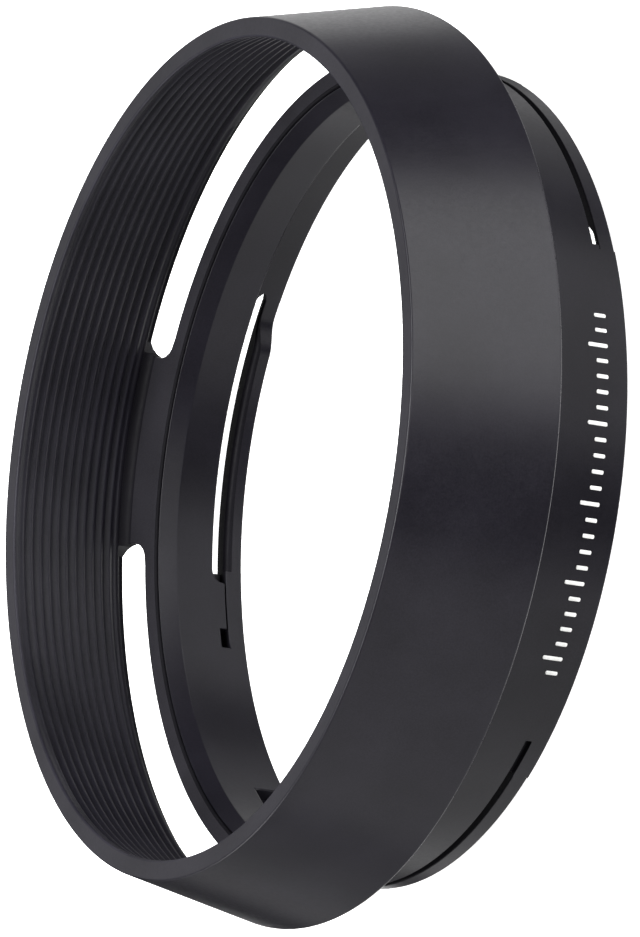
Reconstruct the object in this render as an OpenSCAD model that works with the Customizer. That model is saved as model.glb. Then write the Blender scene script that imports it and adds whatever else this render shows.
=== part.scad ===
// Vented bayonet lens hood, turned from black-anodised aluminium.
// Millimetres. The hood lies on its rear face: +Z points to the front opening,
// the origin is the centre of the rear face, and angles run from +X towards +Y.

/* [Shade] */
// Outer diameter of the front rim
front_d = 56; // [50:0.5:62]
// Outer diameter of the shade at its rear edge, its widest place
shoulder_d = 60.2; // [58:0.1:66]
// Height of the whole hood
total_h = 16.3; // [15:0.1:22]
// Height of the shade alone
shade_h = 9.65; // [9:0.05:12]
// Width of the front rim's face
rim_w = 1.35; // [0.9:0.05:1.6]
// Width of the shade's wall beside the vent ring's seat, across the axis
wall_w = 0.9; // [0.7:0.05:1.2]
// Thickness of the thin lip around the shade's rear counterbore
lip_w = 0.4; // [0.3:0.05:0.6]
// Depth of the rear counterbore that the vent ring seats in
seat_h = 0.65; // [0.5:0.05:0.9]

/* [Light baffles] */
// Distance from one baffle groove to the next
groove_pitch = 0.75; // [0.6:0.05:1]
// Depth of each baffle groove
groove_depth = 0.2; // [0.1:0.05:0.35]
// Number of baffle grooves
groove_count = 10; // [6:1:10]
// Plain band between the rim and the first groove
groove_start = 0.8; // [0.6:0.05:1.2]

/* [Vent ring] */
// Number of vent windows, bayonet arms and entry recesses
sectors = 3; // [2:1:4]
// Width of the solid spoke between two windows, in degrees
spoke_angle = 25.3; // [15:0.1:40]
// Direction of the first spoke, in degrees
spoke_at = 57.7; // [0:0.1:120]
// Radius of the windows' inner wall
window_inner_r = 27.15; // [26.9:0.05:27.8]
// Radius of the joint between the vent ring's hub and the bayonet ring's neck
neck_r = 26; // [25.9:0.05:26.2]
// Height of the hub's front face at that joint, above the rear face
hub_h = 6.1; // [5.9:0.05:6.3]
// Height of the hub's flat seat on the bayonet ring
hub_seat_h = 5.3; // [5.1:0.05:5.5]

/* [Bayonet ring] */
// Outer diameter of the bayonet ring
bayonet_d = 53.4; // [53:0.1:54]
// Bore that slides over the adapter, also the lugs' inner diameter
bore_d = 50.8; // [50.4:0.1:51.2]
// Height where the plain bore ends and the neck's flare begins
bore_top_h = 4.83; // [4.6:0.01:5]
// Thickness of the neck at its front end
neck_wall = 0.15; // [0.1:0.05:0.25]
// Radius of the entry recesses and of the bayonet groove's floor
recess_r = 26.25; // [26:0.05:26.35]
// Height of the entry recesses, from the rear face
recess_h = 2.15; // [2:0.05:2.6]
// Direction where the first entry recess begins, in degrees
recess_from = 114.5; // [100:0.5:120]
// Direction where the first recess begins to rise to its lug, in degrees
lug_from = 155.8; // [150:0.1:160]
// Length of the rise from recess to lug, in degrees
lug_ramp = 5.2; // [3:0.1:8]
// Direction where the first groove stops, in degrees
groove_to = 196.3; // [195:0.1:199]
// Height of the fine line that runs on from the groove to the stop pocket
line_w = 0.25; // [0.15:0.05:0.4]
// Depth of that fine line
line_depth = 0.3; // [0.1:0.05:0.4]
// Direction where the first stop pocket ends, in degrees
pocket_to = 206.6; // [204:0.1:210]
// Length of the stop pocket, in degrees
pocket_angle = 3.1; // [2:0.1:4]
// How much deeper than the groove the pocket is
pocket_depth = 0.15; // [0.05:0.05:0.25]
// Chamfer on the lug's front edge
lug_chamfer = 0.25; // [0.1:0.05:0.35]

/* [Spring arms] */
// Direction where the first flexing slit begins, in degrees
slit_from = 153.2; // [150:0.1:155]
// Direction where the slit stops going right through, in degrees
slit_to = 194.3; // [190:0.1:198]
// Direction where the slit's shallow run-out ends on the outside, in degrees
slit_runout_to = 200.8; // [199:0.1:204]
// Depth of the run-out on the outside
runout_depth = 0.35; // [0.2:0.05:0.5]
// Height of the spring arm behind the slit
arm_h = 1.15; // [0.9:0.05:1.4]
// Width of the flexing slit
slit_w = 0.62; // [0.5:0.02:0.8]

/* [Index marks] */
// Number of printed ticks
tick_count = 24; // [10:1:30]
// Direction of the first tick, in degrees
tick_from = -28; // [-40:1:0]
// Angle between ticks
tick_step = 2.2; // [1.8:0.1:3]
// Width of each tick
tick_w = 0.26; // [0.15:0.01:0.4]
// Height of a tall tick
tick_h = 1.4; // [1:0.1:1.8]
// Middle of the tall ticks above the rear face
tick_z = 2.15; // [2:0.05:3.4]
// Thickness of the printed paint
paint_t = 0.04; // [0.03:0.01:0.08]

/* [Hidden] */
$fn = 240;
body_colour = [0.09, 0.088, 0.096];
arm_colour = [0.12, 0.118, 0.126];
paint_colour = [0.92, 0.92, 0.9];

turn = 360 / sectors;
front_r = front_d / 2;
shoulder_r = shoulder_d / 2;
bayonet_r = bayonet_d / 2;
bore_r = bore_d / 2;
shade_z = total_h - shade_h;
seat_r = shoulder_r - lip_w;
seat_z = shade_z + seat_h;
edge = 0.1;              // small chamfer on outer edges
step = 0.04;             // difference between two tool passes that meet

// The shade's wall is a cone, parallel inside and out.
wall_slope = (shoulder_r - front_r) / shade_h;
inner_slope = wall_slope + (rim_w - wall_w) / (total_h - seat_z);
function wall_r(z) = front_r - rim_w + inner_slope * (total_h - z);

// The vent ring is a shallow dish. Its front face leans back towards the axis.
web_slope = wall_slope;
function web_z(r) = hub_h + web_slope * (r - neck_r);
web_fillet = 0.15;       // the web's front corner against the shade's wall
seam = 0.12;             // the neck ends this much below the hub

// A window's cutter reaches past the vent ring's edge, so the windows are open there.
window_over = 0.2;
window_outer_r = seat_r + window_over;
window_r = (window_inner_r + window_outer_r) / 2;
window_w = window_outer_r - window_inner_r;
window_end = asin(window_w / 2 / window_r);

// A ring-shaped block between two radii, two heights and two directions.
module arc_block(r0, r1, z0, z1, from, to) {
    rotate([0, 0, from])
        rotate_extrude(angle = to - from)
            translate([r0, z0])
                square([r1 - r0, z1 - z0]);
}

// A wedge of space between two directions, taller than the hood.
module sector(from, to) {
    arc_block(0, front_d, -1, total_h + 1, from, to);
}

// The shade's half section: rim, baffled inner cone, counterbore, outer cone.
function groove_points(i) = let (z = total_h - groove_start - i * groove_pitch) [
    [wall_r(z), z],
    [wall_r(z - groove_pitch / 2) + groove_depth, z - groove_pitch / 2]
];
groove_end_z = total_h - groove_start - groove_count * groove_pitch;
shade_outline = concat(
    [[front_r - edge, total_h], [wall_r(total_h), total_h]],
    [for (i = [0:groove_count - 1]) each groove_points(i)],
    [[wall_r(groove_end_z), groove_end_z], [wall_r(seat_z), seat_z]],
    [[seat_r, seat_z], [seat_r, shade_z], [shoulder_r - edge, shade_z]],
    [[shoulder_r, shade_z + edge], [front_r, total_h - edge]]
);

module shade() {
    color(body_colour)
        rotate_extrude()
            polygon(shade_outline);
}

// One kidney-shaped vent window, wide enough to open into the shade's counterbore.
module window(middle) {
    half = turn / 2 - spoke_angle / 2 - window_end;
    arc_block(window_inner_r, window_outer_r, 0, total_h, middle - half, middle + half);
    for (side = [-1, 1])
        rotate([0, 0, middle + side * half])
            translate([window_r, 0, 0])
                cylinder(d = window_w, h = total_h);
}

vent_outline = [
    [neck_r, hub_seat_h], [bayonet_r, hub_seat_h], [seat_r, shade_z],
    [seat_r, seat_z], [wall_r(seat_z), seat_z],
    [wall_r(seat_z) - web_fillet, web_z(wall_r(seat_z))],
    [neck_r + edge, web_z(neck_r + edge)], [neck_r, hub_h - edge]
];

module vent_ring() {
    color(body_colour)
        difference() {
            rotate_extrude()
                polygon(vent_outline);
            for (i = [0:sectors - 1])
                window(spoke_at + (i + 0.5) * turn);
        }
}

// The recess rises to the lug in a smooth S-shaped ramp, drawn in plan.
ramp_steps = 10;
function ramp_r(t) = recess_r - (recess_r - bore_r) * (1 - cos(180 * t)) / 2;
function polar(r, a) = [r * cos(a), r * sin(a)];

// The last of the entry recess in plan, up to the top of its ramp.
module ramp_plan() {
    polygon(concat(
        [[0, 0], polar(recess_r, slit_from - 2)],
        [for (i = [0:ramp_steps])
            polar(ramp_r(i / ramp_steps), lug_from + lug_ramp * i / ramp_steps)]
    ));
}

bayonet_outline = [
    [bore_r, 0], [bayonet_r - edge, 0], [bayonet_r, edge],
    [bayonet_r, hub_seat_h], [neck_r, hub_seat_h], [neck_r, hub_h - seam],
    [neck_r - neck_wall, hub_h - seam], [bore_r, bore_top_h]
];

// Everything of one bayonet sector that is cut away from the plain ring.
// Each cut is a hair larger or smaller than its neighbour, as separate tool passes are.
module bayonet_cut() {
    inside = bore_r - 1;
    outside = bayonet_r + 1;
    slit_top = arm_h + slit_w;
    pocket_from = pocket_to - pocket_angle;
    // the entry recess, open at the rear face
    arc_block(inside, recess_r, -1, recess_h, recess_from, lug_from);
    // the groove in front of the lug
    arc_block(inside, recess_r + step, arm_h, recess_h - step, slit_from + 1, groove_to);
    // the fine line beyond the groove
    arc_block(inside, bore_r + line_depth, arm_h + step / 2, arm_h + line_w,
        groove_to - 0.5, pocket_from + 0.5);
    // the stop pocket, as tall as the slit
    arc_block(inside, recess_r + pocket_depth, arm_h + step, slit_top - 2 * step,
        pocket_from, pocket_to);
    // the slit and the room of the spring arm behind it, right through the wall
    arc_block(inside, outside, -1, slit_top, slit_from, slit_to);
    // the slit's run-out, on the outside only
    arc_block(bayonet_r - runout_depth, outside, arm_h + step / 2, slit_top - step / 2,
        slit_to - 1, slit_runout_to);
}

module bayonet_ring() {
    color(body_colour)
        difference() {
            rotate_extrude()
                polygon(bayonet_outline);
            for (i = [0:sectors - 1])
                rotate([0, 0, i * turn])
                    bayonet_cut();
        }
}

// The strip behind the slit. It carries the lug and gives when the adapter turns in.
arm_gap = 0.02;          // hairline at each end, so the strip slides clear of the ring
module spring_arm(i) {
    gap = arm_gap / bayonet_r * 180 / PI;
    color(arm_colour)
        rotate([0, 0, i * turn])
            difference() {
                intersection() {
                    rotate_extrude()
                        polygon([
                            [bore_r, 0], [bayonet_r - edge, 0],
                            [bayonet_r, edge], [bayonet_r, arm_h],
                            [bore_r + lug_chamfer, arm_h], [bore_r, arm_h - lug_chamfer]
                        ]);
                    sector(slit_from + gap, slit_to - gap);
                }
                translate([0, 0, -1])
                    linear_extrude(arm_h + 2)
                        ramp_plan();
            }
}
module spring_arm_1() spring_arm(0);
module spring_arm_2() spring_arm(1);
module spring_arm_3() spring_arm(2);

// A plain printed scale: every fifth tick is tall.
short_tick = 0.6;
module index_marks() {
    half_angle = tick_w / bayonet_r * 90 / PI;
    color(paint_colour)
        for (i = [0:tick_count - 1]) {
            h = i % 5 == 1 ? tick_h : tick_h * short_tick;
            a = tick_from + i * tick_step;
            arc_block(bayonet_r, bayonet_r + paint_t, tick_z - tick_h / 2,
                tick_z - tick_h / 2 + h, a - half_angle, a + half_angle);
        }
}

shade();
vent_ring();
bayonet_ring();
spring_arm_1();
spring_arm_2();
spring_arm_3();
index_marks();
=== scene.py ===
"""Looks of the vented bayonet lens hood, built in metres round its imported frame."""
import math

import bmesh
import bpy
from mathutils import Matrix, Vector


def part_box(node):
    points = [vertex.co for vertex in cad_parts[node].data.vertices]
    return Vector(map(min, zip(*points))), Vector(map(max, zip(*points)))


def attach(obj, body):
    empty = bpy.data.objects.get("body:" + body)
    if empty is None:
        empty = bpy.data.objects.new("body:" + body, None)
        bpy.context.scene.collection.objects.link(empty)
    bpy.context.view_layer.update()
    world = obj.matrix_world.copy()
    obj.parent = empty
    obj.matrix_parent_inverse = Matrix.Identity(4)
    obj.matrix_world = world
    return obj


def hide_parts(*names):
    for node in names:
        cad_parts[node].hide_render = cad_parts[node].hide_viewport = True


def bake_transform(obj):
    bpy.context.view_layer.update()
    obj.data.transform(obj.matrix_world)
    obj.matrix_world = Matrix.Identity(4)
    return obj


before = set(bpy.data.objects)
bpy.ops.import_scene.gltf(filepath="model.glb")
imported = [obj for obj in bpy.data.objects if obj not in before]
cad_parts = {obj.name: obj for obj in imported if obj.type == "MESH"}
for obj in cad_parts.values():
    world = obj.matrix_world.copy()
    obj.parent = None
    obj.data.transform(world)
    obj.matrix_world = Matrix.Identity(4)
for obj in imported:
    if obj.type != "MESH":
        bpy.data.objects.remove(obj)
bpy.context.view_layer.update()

MM = 0.001

# ---------------------------------------------------------------- sizes

shade_low, shade_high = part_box("shade")
vent_low, vent_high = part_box("vent_ring")
_, ring_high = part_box("bayonet_ring")
_, arm_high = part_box("spring_arm_1")
marks_low, marks_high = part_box("index_marks")

TOTAL_H = shade_high.z
SHADE_Z = shade_low.z
SHOULDER_R = shade_high.x
SEAT_R = -vent_low.x
SEAT_Z = vent_high.z
HUB_SEAT_Z = vent_low.z
BAYONET_R = ring_high.x
NECK_TOP_Z = ring_high.z
ARM_TOP_Z = arm_high.z
PAINT_R = marks_high.x

FRONT_R = 28.0 * MM
RIM_W = 1.35 * MM  # wall at the front rim
WALL_W = 0.9 * MM  # wall beside the vent ring's seat
WALL_SLOPE = (SHOULDER_R - FRONT_R) / (TOTAL_H - SHADE_Z)
INNER_SLOPE = WALL_SLOPE + (RIM_W - WALL_W) / (TOTAL_H - SEAT_Z)
RIM_INNER_ROUND = 0.14 * MM
RIM_OUTER_ROUND = 0.15 * MM
SHOULDER_ROUND = 0.1 * MM
SEAT_ROUND = 0.03 * MM

THREAD_PITCH = 0.75 * MM
THREAD_DEPTH = 0.26 * MM
THREAD_TOP = TOTAL_H - 0.3 * MM
THREAD_BOTTOM = SEAT_Z + 0.3 * MM
THREAD_FADE = 0.35 * MM
# One pitch of the thread: share of the pitch, share of the depth.
THREAD_FORM = ((0.0, 0.0), (0.14, 0.0), (0.22, 0.12), (0.52, 1.0), (0.64, 1.0), (0.93, 0.12))

SECTORS = 3
TURN = 360 / SECTORS
SPOKE_AT = 57.7
SPOKE_ANGLE = 25.3  # degrees across a spoke at its narrowest
WINDOW_INNER_R = 27.15 * MM
WINDOW_OUTER_R = SEAT_R + 0.2 * MM
WINDOW_R = (WINDOW_INNER_R + WINDOW_OUTER_R) / 2
WINDOW_HALF = (WINDOW_OUTER_R - WINDOW_INNER_R) / 2
ROUND_END_TURNS = (0, 14, 30, 50, 72, 92)  # degrees round a window's end, from inside, at each row
NECK_R = 26.0 * MM
HUB_Z = 6.1 * MM
WEB_FILLET = 0.45 * MM
FILLET_TURN = 78  # degrees of the fillet in even rows; one more row takes the rest
FILLET_STEPS = 5
SEAM_CHAMFER = 0.16 * MM
# The seam's dark band on the neck is painted shadow.
SEAM_SHADOW_BAND = 0.11 * MM  # width of the seam's dark band on the neck
WINDOW_EDGE = 0.5  # share of the seam's chamfer that the windows' edges get

BORE_R = 25.4 * MM
BORE_TOP_Z = 4.83 * MM
NECK_WALL = 0.15 * MM
RECESS_R = 26.25 * MM
RECESS_H = 2.15 * MM
RECESS_FROM = 114.5
LUG_FROM = 155.8
LUG_RAMP = 5.2
RAMP_STEPS = 10
LUG_CHAMFER = 0.25 * MM
ARM_CHAMFER = 0.42 * MM
GROOVE_TO = 196.3
GROOVE_TIP = 2.0  # degrees over which the groove's front wall comes down
LINE_TOP_Z = ARM_TOP_Z + 0.1 * MM  # fine line from the groove to the pocket
POCKET_FROM = 203.5
POCKET_TO = 206.6
POCKET_R = 26.4 * MM
SLIT_FROM = 153.2
SLIT_TO = 194.3
SLIT_STARTS = (152.2, 153.2, 154.0)  # where each sector's slit opens, turned back into the first
SLIT_TIP = 1.8  # degrees over which its end narrows on the inside
TIP_SHARES = (0.12, 0.35, 0.65, 1.0)
TIP_RISE = 0.22 * MM  # rise of the slit's floor at an end that the ring itself closes
RUNOUT_TO = 200.8
RUNOUT_R = BAYONET_R - 0.35 * MM
SLIT_TOP_Z = 1.77 * MM
SLIT_OUTER_Z = 1.57 * MM  # top of the slit on the ring's outside
# Slit and pocket walls whose middles lie below this height are painted shadow.
PAINTED_SHADOW_TO_Z = ARM_TOP_Z + 0.7 * MM  # the middles of the slits' and pockets' walls lie below this

# Shares of LUG_CHAMFER or ARM_CHAMFER that the bayonet's edges get.
REAR_EDGE = 0.4
SEAM_EDGE = 0.4
OUTER_EDGE = 0.16
NECK_EDGE = 0.12
RECESS_EDGE = 0.8
INNER_EDGE = 0.28
ARM_EDGE = 0.2

TICK_COUNT = 24
TICK_FROM = -28.0
TICK_STEP = 2.2
TICK_W = 0.26 * MM
TICK_TALL = 1.4 * MM
TICK_SHORT = 0.84 * MM
TICK_GROUP = 5  # every fifth tick is tall
TICK_CORNER = 0.09 * MM
PAINT_SUNK = 0.01 * MM
PAINT_BEVEL = 0.015 * MM
PAINT_INSET = 0.9  # size of a tick's face, as a share of its foot

STATION = 1.0  # degrees from one station of a mesh to the next
HOLD = 0.05 * MM  # distance of the row that keeps shading flat beside a rounded edge
ARC_STEPS = 4  # faces across one rounded edge
SHARP = 28  # degrees between two faces, above which their edge is softened or kept sharp
CORNER_STEPS = 4  # steps round a corner of a tick

# Distances within which a point counts as lying on a surface, and the same for directions.
TOUCH = 0.01 * MM
CLOSE = 0.02 * MM
NEAR = 0.05 * MM
SAME_WAY = 0.01
FLAT = 0.9  # a face whose normal points along Z by more than this share lies flat
MERGE = 1e-8
# Metres and degrees that rounding may add.
TINY = 1e-9
SLACK = 1e-6

# Material slots of every black piece. The second slot is a little lighter as a painted highlight on
# rounded edges. The fourth slot is painted shadow in recesses, on slit and pocket walls, in corners and on
# the arms' tops. The fifth slot is painted shadow along the seam of neck and hub.
BODY, EDGE_HIGHLIGHT, THREAD, PAINTED_SHADOW, SEAM_SHADOW = range(5)  # material slots of every black piece


def wall_r(z):
    """Radius of the shade's inner cone, without its thread, at height z."""
    return FRONT_R - RIM_W + INNER_SLOPE * (TOTAL_H - z)


def at(r, degrees, z):
    """The point at that radius, direction and height."""
    angle = math.radians(degrees)
    return Vector((r * math.cos(angle), r * math.sin(angle), z))


def stations(start, stop, *marks):
    """Directions from start to stop, a station apart, and the marks between them."""
    count = max(1, round((stop - start) / STATION))
    even = [start + (stop - start) * i / count for i in range(count + 1)]
    inside = [m for m in marks if start < m < stop]
    kept = [a for a in even if all(abs(a - m) > 0.3 * STATION for m in inside)]
    return sorted(kept + inside)


def finish_mesh(bm, name, body, materials):
    """Turns a bmesh into an object that rides on a body."""
    bmesh.ops.remove_doubles(bm, verts=bm.verts, dist=MERGE)
    bmesh.ops.dissolve_degenerate(bm, edges=bm.edges, dist=MERGE)
    bmesh.ops.recalc_face_normals(bm, faces=bm.faces)
    mesh = bpy.data.meshes.new(name)
    bm.to_mesh(mesh)
    bm.free()
    for material in materials:
        mesh.materials.append(material)
    mesh.polygons.foreach_set("use_smooth", [True] * len(mesh.polygons))
    piece = bpy.data.objects.new(name, mesh)
    bpy.context.scene.collection.objects.link(piece)
    if body:
        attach(piece, body)
    return piece


# ---------------------------------------------------------------- shade

def rounded(corners):
    """An outline in (r, z) with each corner (r, z, radius, slot) rounded, as (point, slot) pairs."""
    points = []
    for i, (r, z, radius, slot) in enumerate(corners):
        here = Vector((r, z))
        if radius == 0:
            points.append((here, BODY))
            continue
        before = (Vector(corners[i - 1][:2]) - here).normalized()
        after = (Vector(corners[(i + 1) % len(corners)][:2]) - here).normalized()
        half = before.angle(after) / 2
        sweep = math.pi - 2 * half
        reach = radius / math.tan(half)
        centre = here + (before + after).normalized() * radius / math.sin(half)
        first, last = here + before * reach - centre, here + after * reach - centre
        points.append((here + before * (reach + HOLD), BODY))
        for s in range(ARC_STEPS + 1):
            turn = sweep * s / ARC_STEPS
            arc = (first * math.sin(sweep - turn) + last * math.sin(turn)) / math.sin(sweep)
            points.append((centre + arc, slot if s < ARC_STEPS else BODY))
        points.append((here + after * (reach + HOLD), BODY))
    return points


def thread_rows(degrees):
    """Points up the inner wall at that direction. The rows climb one pitch in a turn."""
    turns = math.ceil((THREAD_TOP - THREAD_BOTTOM) / THREAD_PITCH)
    rows = []
    for i in range(-1, turns + 1):
        for share, depth in THREAD_FORM:
            z = THREAD_BOTTOM + (i + share + degrees / 360) * THREAD_PITCH
            z = min(max(z, THREAD_BOTTOM), THREAD_TOP)
            fade = min(1, (z - THREAD_BOTTOM) / THREAD_FADE, (THREAD_TOP - z) / THREAD_FADE)
            rows.append(Vector((wall_r(z) + THREAD_DEPTH * depth * fade, z)))
    return rows


def make_shade(materials):
    """The flared cone: threaded inner wall, rim, outer wall and rear counterbore."""
    outline = rounded([
        (wall_r(TOTAL_H), TOTAL_H, RIM_INNER_ROUND, THREAD),
        (FRONT_R, TOTAL_H, RIM_OUTER_ROUND, BODY),
        # The shoulder's rounded edge takes the slot that is a little lighter, as a painted highlight.
        (SHOULDER_R, SHADE_Z, SHOULDER_ROUND, EDGE_HIGHLIGHT),
        (SEAT_R, SHADE_Z, SEAT_ROUND, BODY),
        (SEAT_R, SEAT_Z, 0, BODY),
        (wall_r(SEAT_Z), SEAT_Z, SEAT_ROUND, BODY),
    ])
    bm = bmesh.new()
    columns = []
    for degrees in stations(0, 360)[:-1]:
        points = thread_rows(degrees) + [p for p, _ in outline]
        columns.append([bm.verts.new(at(p.x, degrees, p.y)) for p in points])
    threads = len(thread_rows(0))
    slots = [THREAD] * threads + [slot for _, slot in outline]

    def partner(j, seam):
        """The row that row j meets in the next column. At the seam the thread is a pitch higher."""
        if seam and j < threads:
            return min(j + len(THREAD_FORM), threads - 1)
        return j

    for a, column in enumerate(columns):
        seam = a + 1 == len(columns)
        following = columns[(a + 1) % len(columns)]
        for j, slot in enumerate(slots):
            k = (j + 1) % len(slots)
            ahead, behind = following[partner(k, seam)], following[partner(j, seam)]
            corners = list(dict.fromkeys([column[j], column[k], ahead, behind]))
            if len(corners) > 2:
                bm.faces.new(corners).material_index = slot
    return finish_mesh(bm, "shade_shell", "hood", materials)


# ---------------------------------------------------------------- rings built from cells

# Corners of a cell's six sides, each as steps along the columns, the radii and the heights.
CELL_SIDES = {
    (1, 0, 0): ((1, 0, 0), (1, 1, 0), (1, 1, 1), (1, 0, 1)),
    (-1, 0, 0): ((0, 0, 0), (0, 0, 1), (0, 1, 1), (0, 1, 0)),
    (0, 1, 0): ((0, 1, 0), (0, 1, 1), (1, 1, 1), (1, 1, 0)),
    (0, -1, 0): ((0, 0, 0), (1, 0, 0), (1, 0, 1), (0, 0, 1)),
    (0, 0, 1): ((0, 0, 1), (1, 0, 1), (1, 1, 1), (0, 1, 1)),
    (0, 0, -1): ((0, 0, 0), (0, 1, 0), (1, 1, 0), (1, 0, 0)),
}


def cell_solid(size, filled, place):
    """A closed bmesh round the filled cells of a grid that wraps round the axis.

    size is the number of columns, radial cells and height cells. filled(cell) says which cells
    are solid, and place(corner) gives a grid corner's point."""
    bm = bmesh.new()
    made = {}

    def corner(key):
        key = (key[0] % size[0], key[1], key[2])
        if key not in made:
            made[key] = bm.verts.new(place(key))
        return made[key]

    def solid(cell):
        inside = all(0 <= cell[i] < size[i] for i in (1, 2))
        return inside and filled((cell[0] % size[0], cell[1], cell[2]))

    for a in range(size[0]):
        for r in range(size[1]):
            for z in range(size[2]):
                if not solid((a, r, z)):
                    continue
                for step, corners in CELL_SIDES.items():
                    if not solid((a + step[0], r + step[1], z + step[2])):
                        bm.faces.new([corner((a + c[0], r + c[1], z + c[2])) for c in corners])
    return bm


def soften(piece, width, weight, segments=3, slot=BODY):
    """Rounds a piece's sharp edges, or cuts them flat with one segment. weight(a, b) is the share
    of width that the edge a-b gets, and slot the material slot of the new faces."""
    bm = bmesh.new()
    bm.from_mesh(piece.data)
    layer = bm.edges.layers.float.new("bevel_weight_edge")
    for edge in bm.edges:
        if edge.calc_face_angle() > math.radians(SHARP):
            share = weight(edge.verts[0].co, edge.verts[1].co) if edge.is_convex else 0
            edge[layer] = share
            edge.smooth = share > 0
    bm.to_mesh(piece.data)
    bm.free()
    bevel = piece.modifiers.new("soft_edges", "BEVEL")
    bevel.width = width
    bevel.segments = segments
    bevel.limit_method = "WEIGHT"
    bevel.use_clamp_overlap = False
    bevel.harden_normals = True
    bevel.material = slot
    bpy.context.view_layer.update()
    evaluated = piece.evaluated_get(bpy.context.evaluated_depsgraph_get())
    piece.data = bpy.data.meshes.new_from_object(evaluated)
    piece.modifiers.clear()


def recolour(piece, slot, test):
    """Gives that material slot to the faces whose centre and normal pass the test."""
    for face in piece.data.polygons:
        if test(face.center, face.normal):
            face.material_index = slot


def direction(point):
    """Direction of a point round the axis, in degrees."""
    return math.degrees(math.atan2(point.y, point.x)) % 360


# ---------------------------------------------------------------- vent ring

WINDOW_END = math.degrees(math.asin(WINDOW_HALF / WINDOW_R))
SPOKE_FOOT = SPOKE_ANGLE / 2 + WINDOW_END


def spoke_half(r):
    """Half of a spoke's angle at radius r, beside the windows' round ends."""
    if r <= WINDOW_INNER_R:
        return SPOKE_FOOT
    cosine = (r * r + WINDOW_R ** 2 - WINDOW_HALF ** 2) / (2 * r * WINDOW_R)
    return SPOKE_FOOT - math.degrees(math.acos(min(1, cosine)))


def make_vent_ring(materials):
    """The dished web with its three kidney windows and the raised rim that fits the shade."""
    rim_r = wall_r(SEAT_Z)
    turns = [math.radians(FILLET_TURN) * s / FILLET_STEPS for s in range(FILLET_STEPS + 1)]
    fillet = [rim_r - WEB_FILLET * (1 - math.sin(turn)) for turn in turns]
    round_end = [WINDOW_R - WINDOW_HALF * math.cos(math.radians(t)) for t in ROUND_END_TURNS]
    radii = sorted([NECK_R, BAYONET_R, *round_end, *fillet, rim_r, (rim_r + SEAT_R) / 2, SEAT_R])
    spokes = [SPOKE_AT + i * TURN for i in range(SECTORS)]
    feet = [s + side * SPOKE_FOOT for s in spokes for side in (-1, 1)]
    start = feet[0]
    columns = stations(start, start + 360, *feet)[:-1]

    def spoke_offset(degrees):
        """Degrees from the middle of the spoke there, or None in a window."""
        offset = (degrees - SPOKE_AT + TURN / 2) % TURN - TURN / 2
        return offset if abs(offset) <= SPOKE_FOOT + SLACK else None

    def filled(cell):
        a, r, _ = cell
        middle = columns[a] + STATION * 0.1
        return radii[r + 1] <= WINDOW_INNER_R + TINY or spoke_offset(middle) is not None

    def place(corner):
        a, r, z = corner
        radius, degrees = radii[r], columns[a]
        offset = spoke_offset(degrees)
        if offset is not None:
            degrees += offset * (spoke_half(radius) / SPOKE_FOOT - 1)
        if z == 0:
            rise = max(0, radius - BAYONET_R) / (SEAT_R - BAYONET_R)
            return at(radius, degrees, HUB_SEAT_Z + rise * (SHADE_Z - HUB_SEAT_Z))
        if radius >= rim_r - TINY:
            return at(radius, degrees, SEAT_Z)
        rise = max(0, (radius - rim_r) / WEB_FILLET + 1)
        lift = WEB_FILLET * (1 - math.sqrt(1 - rise * rise))
        return at(radius, degrees, HUB_Z + WALL_SLOPE * (radius - NECK_R) + lift)

    bm = cell_solid((len(columns), len(radii) - 1, 1), filled, place)
    piece = finish_mesh(bm, "vent_ring_web", "hood", materials)

    def weight(a, b):
        middle = (a + b) / 2
        radius = middle.xy.length
        if radius > rim_r - WEB_FILLET:
            return 0
        return 1 if radius < NECK_R + NEAR else WINDOW_EDGE

    soften(piece, SEAM_CHAMFER, weight)
    # Painted shadow in the corner where the web rises to the shade's wall, and along the seam at the hub's
    # inner edge.
    recolour(piece, PAINTED_SHADOW, lambda centre, _: rim_r - WEB_FILLET < centre.xy.length < rim_r)
    recolour(piece, SEAM_SHADOW, lambda centre, normal:
             centre.xy.length < NECK_R + SEAM_CHAMFER and normal.z < FLAT)
    return piece


# ---------------------------------------------------------------- bayonet ring and spring arms

def in_sector(degrees):
    """That direction, turned back into the first sector."""
    return RECESS_FROM + (degrees - RECESS_FROM) % TURN


def ramp_r(degrees):
    """Radius of a spring arm's inner wall: the recess, an S-shaped rise, then the lug."""
    share = min(1, max(0, (in_sector(degrees) - LUG_FROM) / LUG_RAMP))
    return RECESS_R - (RECESS_R - BORE_R) * (1 - math.cos(math.pi * share)) / 2


def tip(share):
    """Height of a round end, as a share of its full height, that share of its length from its point."""
    share = min(1, max(0, share))
    return math.sqrt(1 - (1 - share) ** 2)


def slit_start(degrees):
    """Where the slit of that direction's sector begins, turned back into the first sector."""
    sector = int((degrees - RECESS_FROM) % 360 // TURN)
    return SLIT_STARTS[sector]


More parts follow.
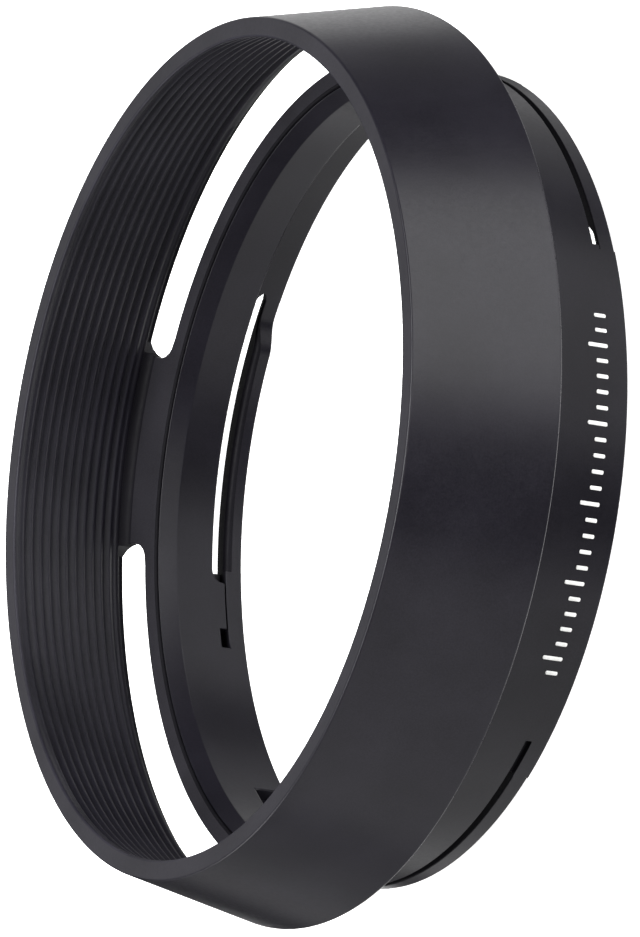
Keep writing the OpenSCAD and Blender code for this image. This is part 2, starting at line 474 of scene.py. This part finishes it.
def make_bayonet_ring(materials):
    """The plain ring with its neck, entry recesses, grooves, stop pockets, slits and run-outs."""
    marks = [RECESS_FROM, SLIT_FROM, LUG_FROM, SLIT_TO, RUNOUT_TO, GROOVE_TO, POCKET_FROM, POCKET_TO]
    marks += [GROOVE_TO - GROOVE_TIP * share for share in TIP_SHARES[:-1]]
    all_marks = [m + i * TURN for m in marks for i in range(SECTORS)]
    for i, opening in enumerate(SLIT_STARTS):
        all_marks += [opening + i * TURN + SLIT_TIP * share for share in (0, *TIP_SHARES)]
    start = RECESS_FROM
    inside = sorted({round(m, 6) for m in all_marks if m > start})
    columns = stations(start, start + 360, *inside)[:-1]
    # Cells by height: 0 beside the arms, 1 the fine line, 2 up to the slits' top, 3 to the recesses' top.
    # By radius: 0 and 1 under the neck, 2 out to the recesses' wall, 3 to the pockets' floor, 4 outside.
    heights = [0, ARM_TOP_Z, LINE_TOP_Z, SLIT_TOP_Z, RECESS_H, BORE_TOP_Z - HOLD, BORE_TOP_Z,
               BORE_TOP_Z + HOLD, HUB_SEAT_Z, NECK_TOP_Z]
    neck_cell = len(heights) - 2

    def filled(cell):
        a, r, z = cell
        middle = (columns[a] + (columns + [start + 360])[a + 1]) / 2
        d = in_sector(middle)
        if z == neck_cell:
            return r < 2
        if z > 3:
            return True
        recess = d < LUG_FROM and r < 3
        arm_room = SLIT_FROM < d < SLIT_TO and z == 0
        slit = slit_start(middle) < d < SLIT_TO and z in (1, 2)
        groove = SLIT_FROM < d < GROOVE_TO and z > 0 and r < 3
        line = GROOVE_TO < d < POCKET_FROM and z == 1 and r == 0
        pocket = POCKET_FROM < d < POCKET_TO and z in (1, 2) and r < 4
        runout = SLIT_TO < d < RUNOUT_TO and z in (1, 2) and r == 4
        return not (recess or arm_room or slit or groove or line or pocket or runout)

    def place(corner):
        a, r, z = corner
        d = in_sector(columns[a])
        height = heights[z]
        if z in (3, 4) and r <= 3 and GROOVE_TO - GROOVE_TIP < d <= GROOVE_TO + SLACK:
            height = LINE_TOP_Z + (height - LINE_TOP_Z) * tip((GROOVE_TO - d) / GROOVE_TIP)
        opening = slit_start(columns[a])
        if z in (2, 3) and r == 3 and opening - SLACK <= d < opening + SLIT_TIP:
            height = ARM_TOP_Z + (height - ARM_TOP_Z) * tip((d - opening) / SLIT_TIP)
        if z in (1, 2, 3) and r >= 3 and opening - SLACK <= d < SLIT_FROM:
            floor_z = ARM_TOP_Z + TIP_RISE * (1 - tip((d - opening) / (SLIT_FROM - opening)))
            height = max(height, floor_z)
        if z == 3 and r == 5:
            height = SLIT_OUTER_Z
        flare = max(0, heights[z] - BORE_TOP_Z) / (NECK_TOP_Z - BORE_TOP_Z)
        bore = BORE_R + flare * (NECK_R - NECK_WALL - BORE_R)
        third = RUNOUT_R if SLIT_TO - SLACK <= d <= RUNOUT_TO + SLACK else POCKET_R
        radius = (bore, (bore + NECK_R) / 2, NECK_R, RECESS_R, third, BAYONET_R)[r]
        return at(radius, columns[a], height)

    bm = cell_solid((len(columns), 5, len(heights) - 1), filled, place)
    # The arms' tops and the slits' and pockets' walls are painted shadow.
    for face in bm.faces:
        face.normal_update()
        centre = face.calc_center_median()
        on_arm_top = abs(face.normal.z) > FLAT and abs(centre.z - ARM_TOP_Z) < CLOSE
        in_wall = RECESS_R + NEAR < centre.xy.length < BAYONET_R - CLOSE
        if on_arm_top or (in_wall and ARM_TOP_Z + CLOSE < centre.z < PAINTED_SHADOW_TO_Z):
            face.material_index = PAINTED_SHADOW
    piece = finish_mesh(bm, "bayonet_ring_body", "hood", materials)

    def weight(a, b):
        middle = (a + b) / 2
        radius, height, d = middle.xy.length, middle.z, in_sector(direction(middle))
        at_arm = any(abs(in_sector(direction(a)) - end) < SAME_WAY for end in (SLIT_FROM, SLIT_TO))
        across = abs(a.z - b.z) > NEAR or abs(a.xy.length - b.xy.length) > NEAR
        if at_arm and across and max(a.z, b.z) < ARM_TOP_Z + TOUCH:
            return 0
        if radius > BAYONET_R - NEAR:
            return REAR_EDGE if height < NEAR else OUTER_EDGE
        if height > HUB_SEAT_Z - NEAR:
            return SEAM_EDGE if radius > NECK_R - NEAR else NECK_EDGE
        if d < LUG_FROM - STATION and abs(height - RECESS_H) < CLOSE and radius < BORE_R + CLOSE:
            return RECESS_EDGE
        return INNER_EDGE

    soften(piece, LUG_CHAMFER, weight)
    # The neck's top beside the hub is painted shadow along the seam.
    recolour(piece, SEAM_SHADOW, lambda centre, _:
             centre.z > HUB_SEAT_Z and centre.xy.length > NECK_R - SEAM_SHADOW_BAND)
    return piece


def apart(first, second):
    """Degrees between two directions."""
    return abs((first - second + 180) % 360 - 180)


def make_arm_half(name, start, stop, sector, materials):
    """The stretch of a spring arm between two directions of the first sector, turned into its own."""
    ramp = [LUG_FROM + LUG_RAMP * s / RAMP_STEPS for s in range(RAMP_STEPS + 1)]
    columns = [a + sector * TURN for a in stations(start, stop, *ramp)]

    def place(corner):
        a, r, z = corner
        radius = ramp_r(columns[a]) if r == 0 else BAYONET_R
        return at(radius, columns[a], z * ARM_TOP_Z)

    def filled(cell):
        return cell[0] < len(columns) - 1

    bm = cell_solid((len(columns), 1, 1), filled, place)
    # The arm's top is painted shadow.
    for face in bm.faces:
        if all(v.co.z > ARM_TOP_Z - TOUCH for v in face.verts):
            face.material_index = PAINTED_SHADOW
    piece = finish_mesh(bm, name, None, materials)

    def weight(a, b):
        ways = direction(a), direction(b)
        ends = columns[0], columns[-1]
        if apart(*ways) < SAME_WAY and any(apart(way, end) < SAME_WAY for way in ways for end in ends):
            return 0
        middle = (a + b) / 2
        if middle.xy.length > BAYONET_R - NEAR:
            return REAR_EDGE if middle.z < NEAR else OUTER_EDGE
        if middle.z > ARM_TOP_Z / 2:
            return ARM_EDGE + (1 - ARM_EDGE) * (RECESS_R - middle.xy.length) / (RECESS_R - BORE_R)
        return ARM_EDGE

    # The arm's flat chamfers are painted shadow too.
    soften(piece, ARM_CHAMFER, weight, segments=1, slot=PAINTED_SHADOW)
    return piece


def make_arm(i, materials):
    """One spring arm with its lug, in two halves that each reach from the ring to the arm's middle."""
    node = "spring_arm_%d" % (i + 1)
    middle = (SLIT_FROM + SLIT_TO) / 2
    for part, fixed in (("entry", SLIT_FROM), ("stop", SLIT_TO)):
        start, stop = sorted((fixed, middle))
        piece = make_arm_half("%s_%s_half" % (node, part), start, stop, i, materials)
        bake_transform(piece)
        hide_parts(node)


# ---------------------------------------------------------------- index marks

def make_marks(material):
    """A plain printed scale: curved bars of paint, every fifth one tall."""
    bm = bmesh.new()
    half_angle = math.degrees(TICK_W / 2 / BAYONET_R)
    rows = ((BAYONET_R - PAINT_SUNK, 1), (PAINT_R - PAINT_BEVEL, 1), (PAINT_R, PAINT_INSET))
    for i in range(TICK_COUNT):
        height = TICK_TALL if i % TICK_GROUP == 1 else TICK_SHORT
        middle = TICK_FROM + i * TICK_STEP
        centre_z = marks_low.z + height / 2
        outline = []
        for side, up, first in ((1, 1, 0), (-1, 1, 90), (-1, -1, 180), (1, -1, 270)):
            for s in range(CORNER_STEPS + 1):
                turn = math.radians(first + 90 * s / CORNER_STEPS)
                across = side * (TICK_W / 2 - TICK_CORNER) + TICK_CORNER * math.cos(turn)
                along = up * (height / 2 - TICK_CORNER) + TICK_CORNER * math.sin(turn)
                degrees = middle + across / (TICK_W / 2) * half_angle
                outline.append((degrees, centre_z + along))
        rings = []
        for radius, inset in rows:
            ring = [at(radius, middle + (d - middle) * inset, centre_z + (z - centre_z) * inset)
                    for d, z in outline]
            rings.append([bm.verts.new(point) for point in ring])
        for low, high in zip(rings, rings[1:]):
            for j in range(len(outline)):
                k = (j + 1) % len(outline)
                bm.faces.new((low[j], low[k], high[k], high[j]))
        bm.faces.new(rings[-1])
        bm.faces.new(list(reversed(rings[0])))
    return finish_mesh(bm, "index_scale", "hood", [material])


# ---------------------------------------------------------------- materials

class Nodes:
    """A material's node tree, with a short way to add and join nodes."""

    def __init__(self, name):
        self.material = bpy.data.materials.new(name)
        self.material.use_nodes = True
        self.tree = self.material.node_tree
        self.shader = self.tree.nodes["Principled BSDF"]
        self.place = self.add("ShaderNodeTexCoord").outputs["Object"]

    def add(self, kind, settings=None, **inputs):
        node = self.tree.nodes.new(kind)
        for key, value in (settings or {}).items():
            setattr(node, key, value)
        for key, value in inputs.items():
            self.set(node, key.replace("_", " "), value)
        return node

    def set(self, node, key, value):
        socket = node.inputs[key]
        if isinstance(value, bpy.types.NodeSocket):
            self.tree.links.new(value, socket)
        else:
            socket.default_value = value

    def noise(self, scale, detail=2.0):
        """Noise of that many cells per metre."""
        return self.add("ShaderNodeTexNoise", Vector=self.place, Scale=scale, Detail=detail).outputs["Fac"]

    def between(self, factor, low, high, low_at=0.3, high_at=0.7):
        """A number that goes from low to high as factor does."""
        node = self.add("ShaderNodeMapRange", Value=factor, From_Min=low_at, From_Max=high_at,
                        To_Min=low, To_Max=high)
        return node.outputs["Result"]

    def colours(self, factor, first, second, low_at=0.35, high_at=0.65):
        """A colour that goes from first to second as factor does."""
        node = self.add("ShaderNodeValToRGB", Fac=factor)
        ramp = node.color_ramp.elements
        ramp[0].position, ramp[1].position = low_at, high_at
        ramp[0].color, ramp[1].color = (*first, 1), (*second, 1)
        return node.outputs["Color"]

    def bump(self, height, distance, strength=1.0, normal=None):
        node = self.add("ShaderNodeBump", Height=height, Distance=distance, Strength=strength)
        if normal is not None:
            self.set(node, "Normal", normal)
        return node.outputs["Normal"]


# Cells per metre of the surface's noises.
CLOUDS = 180.0
PITS = 3600.0
BLAST = 9000.0
BLAST_SHARE = 0.55  # how much the finest grain weighs in the colour


def anodised(name, dark, light, rough_low, rough_high, grain, gloss=0.2):
    """Bead-blasted aluminium under black anodising: fine grain, shallow pits and faint clouding."""
    n = Nodes(name)
    clouds = n.noise(CLOUDS, 4.0)
    blast = n.noise(BLAST, 3.0)
    pits = n.noise(PITS, 2.0)
    mixed = n.add("ShaderNodeMath", {"operation": "MULTIPLY_ADD"})
    n.tree.links.new(blast, mixed.inputs[0])
    mixed.inputs[1].default_value = BLAST_SHARE
    n.tree.links.new(n.between(clouds, 0.1, 0.35), mixed.inputs[2])
    n.set(n.shader, "Base Color", n.colours(mixed.outputs["Value"], dark, light))
    n.set(n.shader, "Roughness", n.between(pits, rough_low, rough_high))
    n.shader.inputs["Specular IOR Level"].default_value = gloss
    shallow = n.bump(pits, grain * 0.9)
    n.set(n.shader, "Normal", n.bump(blast, grain, normal=shallow))
    return n.material


def paint(name):
    """Matt white ink, a little uneven."""
    n = Nodes(name)
    n.set(n.shader, "Base Color", n.colours(n.noise(2500.0), (0.78, 0.78, 0.76), (0.9, 0.9, 0.89)))
    n.set(n.shader, "Roughness", n.between(n.noise(5000.0), 0.5, 0.7))
    n.set(n.shader, "Normal", n.bump(n.noise(BLAST), 0.004 * MM))
    return n.material


def pale_floor(name):
    """Plain pale studio floor, lit from within like a light table."""
    n = Nodes(name)
    n.set(n.shader, "Base Color", n.colours(n.noise(3.0), (0.86, 0.86, 0.87), (0.9, 0.9, 0.9)))
    n.shader.inputs["Roughness"].default_value = 0.9
    n.shader.inputs["Specular IOR Level"].default_value = 0.0
    n.shader.inputs["Emission Color"].default_value = (1, 1, 1, 1)
    n.shader.inputs["Emission Strength"].default_value = 0.9
    return n.material


# ---------------------------------------------------------------- stage, lights and camera

FLOOR_R = 6.0
FLOOR_SIDES = 96


def make_floor():
    bm = bmesh.new()
    bmesh.ops.create_circle(bm, cap_ends=True, segments=FLOOR_SIDES, radius=FLOOR_R)
    floor = finish_mesh(bm, "floor", None, [pale_floor("pale_floor")])
    floor.visible_glossy = False
    floor.visible_diffuse = False
    floor.visible_shadow = False


# Soft panels a metre from the hood: name, direction round it, height angle, width, height, watts.
LIGHTS = (
    ("front", 45.0, 0.0, 1.05, 0.6, 11.5),
    ("right", -60.0, -5.0, 1.6, 0.75, 5.4),
    ("left", 150.0, -5.0, 0.55, 0.75, 1.5),
    ("left_front", 120.0, -5.0, 0.5, 0.75, 0.3),
    ("rear_high", 180.0, 30.0, 0.7, 0.5, 0.95),
    ("rear", -126.0, -5.0, 0.75, 0.75, 0.85),
    ("front_high", 22.0, 19.0, 1.0, 0.2, 2.4),
    ("rear_right", -120.0, 30.0, 0.5, 0.5, 4.5),
    ("low_rear", 180.0, -38.0, 0.45, 0.45, 2.2),
    ("low_right", -60.0, -38.0, 1.3, 0.45, 2.7),
    ("low_front", 42.0, -38.0, 1.0, 0.45, 2.7),
    ("low_left", 118.0, -38.0, 0.8, 0.45, 1.1),
    ("low_rear_right", -120.0, -38.0, 0.7, 0.45, 1.3),
    ("top_front", 0.0, 68.0, 0.5, 0.5, 12.0),
    ("top_left", 90.0, 68.0, 0.5, 0.5, 7.0),
    ("top_right", -90.0, 68.0, 0.5, 0.5, 6.5),
    ("below", 0.0, -80.0, 0.9, 0.9, 9.0),
)
LIGHT_DISTANCE = 1.0


def make_lights():
    for name, azimuth, elevation, width, height, power in LIGHTS:
        light = bpy.data.lights.new(name, "AREA")
        light.shape = "RECTANGLE"
        light.size, light.size_y = width, height
        light.energy = power
        lamp = bpy.data.objects.new(name, light)
        away = at(math.cos(math.radians(elevation)), azimuth, math.sin(math.radians(elevation)))
        lamp.location = away * LIGHT_DISTANCE
        lamp.rotation_euler = (-away).to_track_quat("-Z", "Y").to_euler()
        lamp.visible_camera = False
        bpy.context.scene.collection.objects.link(lamp)


def make_world():
    world = bpy.data.worlds.new("studio")
    world.use_nodes = True
    background = world.node_tree.nodes["Background"]
    background.inputs["Color"].default_value = (0.95, 0.97, 1.0, 1)
    background.inputs["Strength"].default_value = 0.01
    bpy.context.scene.world = world


CAMERA_AT = Vector((0.80678, -0.05344, 0.42285))
CAMERA_FORWARD = Vector((-0.88767, 0.05853, -0.45675))
CAMERA_UP = Vector((0.0, 0.99189, 0.12710))
CAMERA_LENS = 540.7
SENSOR = 36.0


def make_camera():
    data = bpy.data.cameras.new("camera")
    data.lens = CAMERA_LENS
    data.sensor_width = SENSOR
    camera = bpy.data.objects.new("camera", data)
    back = -CAMERA_FORWARD.normalized()
    right = CAMERA_UP.cross(back).normalized()
    up = back.cross(right)
    matrix = camera.matrix_world.copy()
    for row in range(3):
        matrix[row][0], matrix[row][1], matrix[row][2] = right[row], up[row], back[row]
        matrix[row][3] = CAMERA_AT[row]
    camera.matrix_world = matrix
    bpy.context.scene.collection.objects.link(camera)
    bpy.context.scene.camera = camera


# ---------------------------------------------------------------- the hood

black = anodised("black_anodised", (0.0055, 0.0050, 0.0076), (0.0105, 0.0097, 0.0138),
                 0.29, 0.35, 0.0017 * MM)
thread_black = anodised("thread_black", (0.0080, 0.0074, 0.0112), (0.0150, 0.0140, 0.0200),
                        0.40, 0.47, 0.0009 * MM, gloss=0.16)
# Rounded edges: glossier, and a little lighter as a painted highlight.
edge_highlight_black = anodised("edge_highlight_black", (0.0085, 0.0080, 0.0112), (0.0150, 0.0140, 0.0190),
                      0.26, 0.32, 0.0007 * MM, gloss=0.45)
# Painted shadow: near black, nearly matt, for recesses, slit and pocket walls, corners and the arms' tops.
painted_shadow_black = anodised("painted_shadow_black", (0.0036, 0.0033, 0.0048), (0.0070, 0.0064, 0.0090),
                     0.52, 0.62, 0.0012 * MM, gloss=0.09)
# The web: rougher, and painted lighter than the other black to stand for the light it catches from the lit
# inner wall.
lit_web_black = anodised("lit_web_black", (0.0125, 0.0120, 0.0145), (0.0220, 0.0210, 0.0255),
                     0.34, 0.42, 0.0012 * MM)
# Painted shadow along the seam of neck and hub: near black and matt.
seam_shadow_black = anodised("seam_shadow_black", (0.0034, 0.0032, 0.0044), (0.0060, 0.0056, 0.0074),
                      0.60, 0.70, 0.0012 * MM, gloss=0.06)
black_slots = [black, edge_highlight_black, thread_black, painted_shadow_black, seam_shadow_black]
web_slots = [lit_web_black, edge_highlight_black, thread_black, painted_shadow_black, seam_shadow_black]

shade = make_shade(black_slots)
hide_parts("shade")

vent_ring = make_vent_ring(web_slots)
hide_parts("vent_ring")

bayonet_ring = make_bayonet_ring(black_slots)
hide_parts("bayonet_ring")

for number in range(SECTORS):
    make_arm(number, black_slots)

marks = make_marks(paint("white_print"))
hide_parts("index_marks")

make_floor()
make_lights()
make_world()
make_camera()
bpy.context.scene.view_settings.view_transform = "Standard"
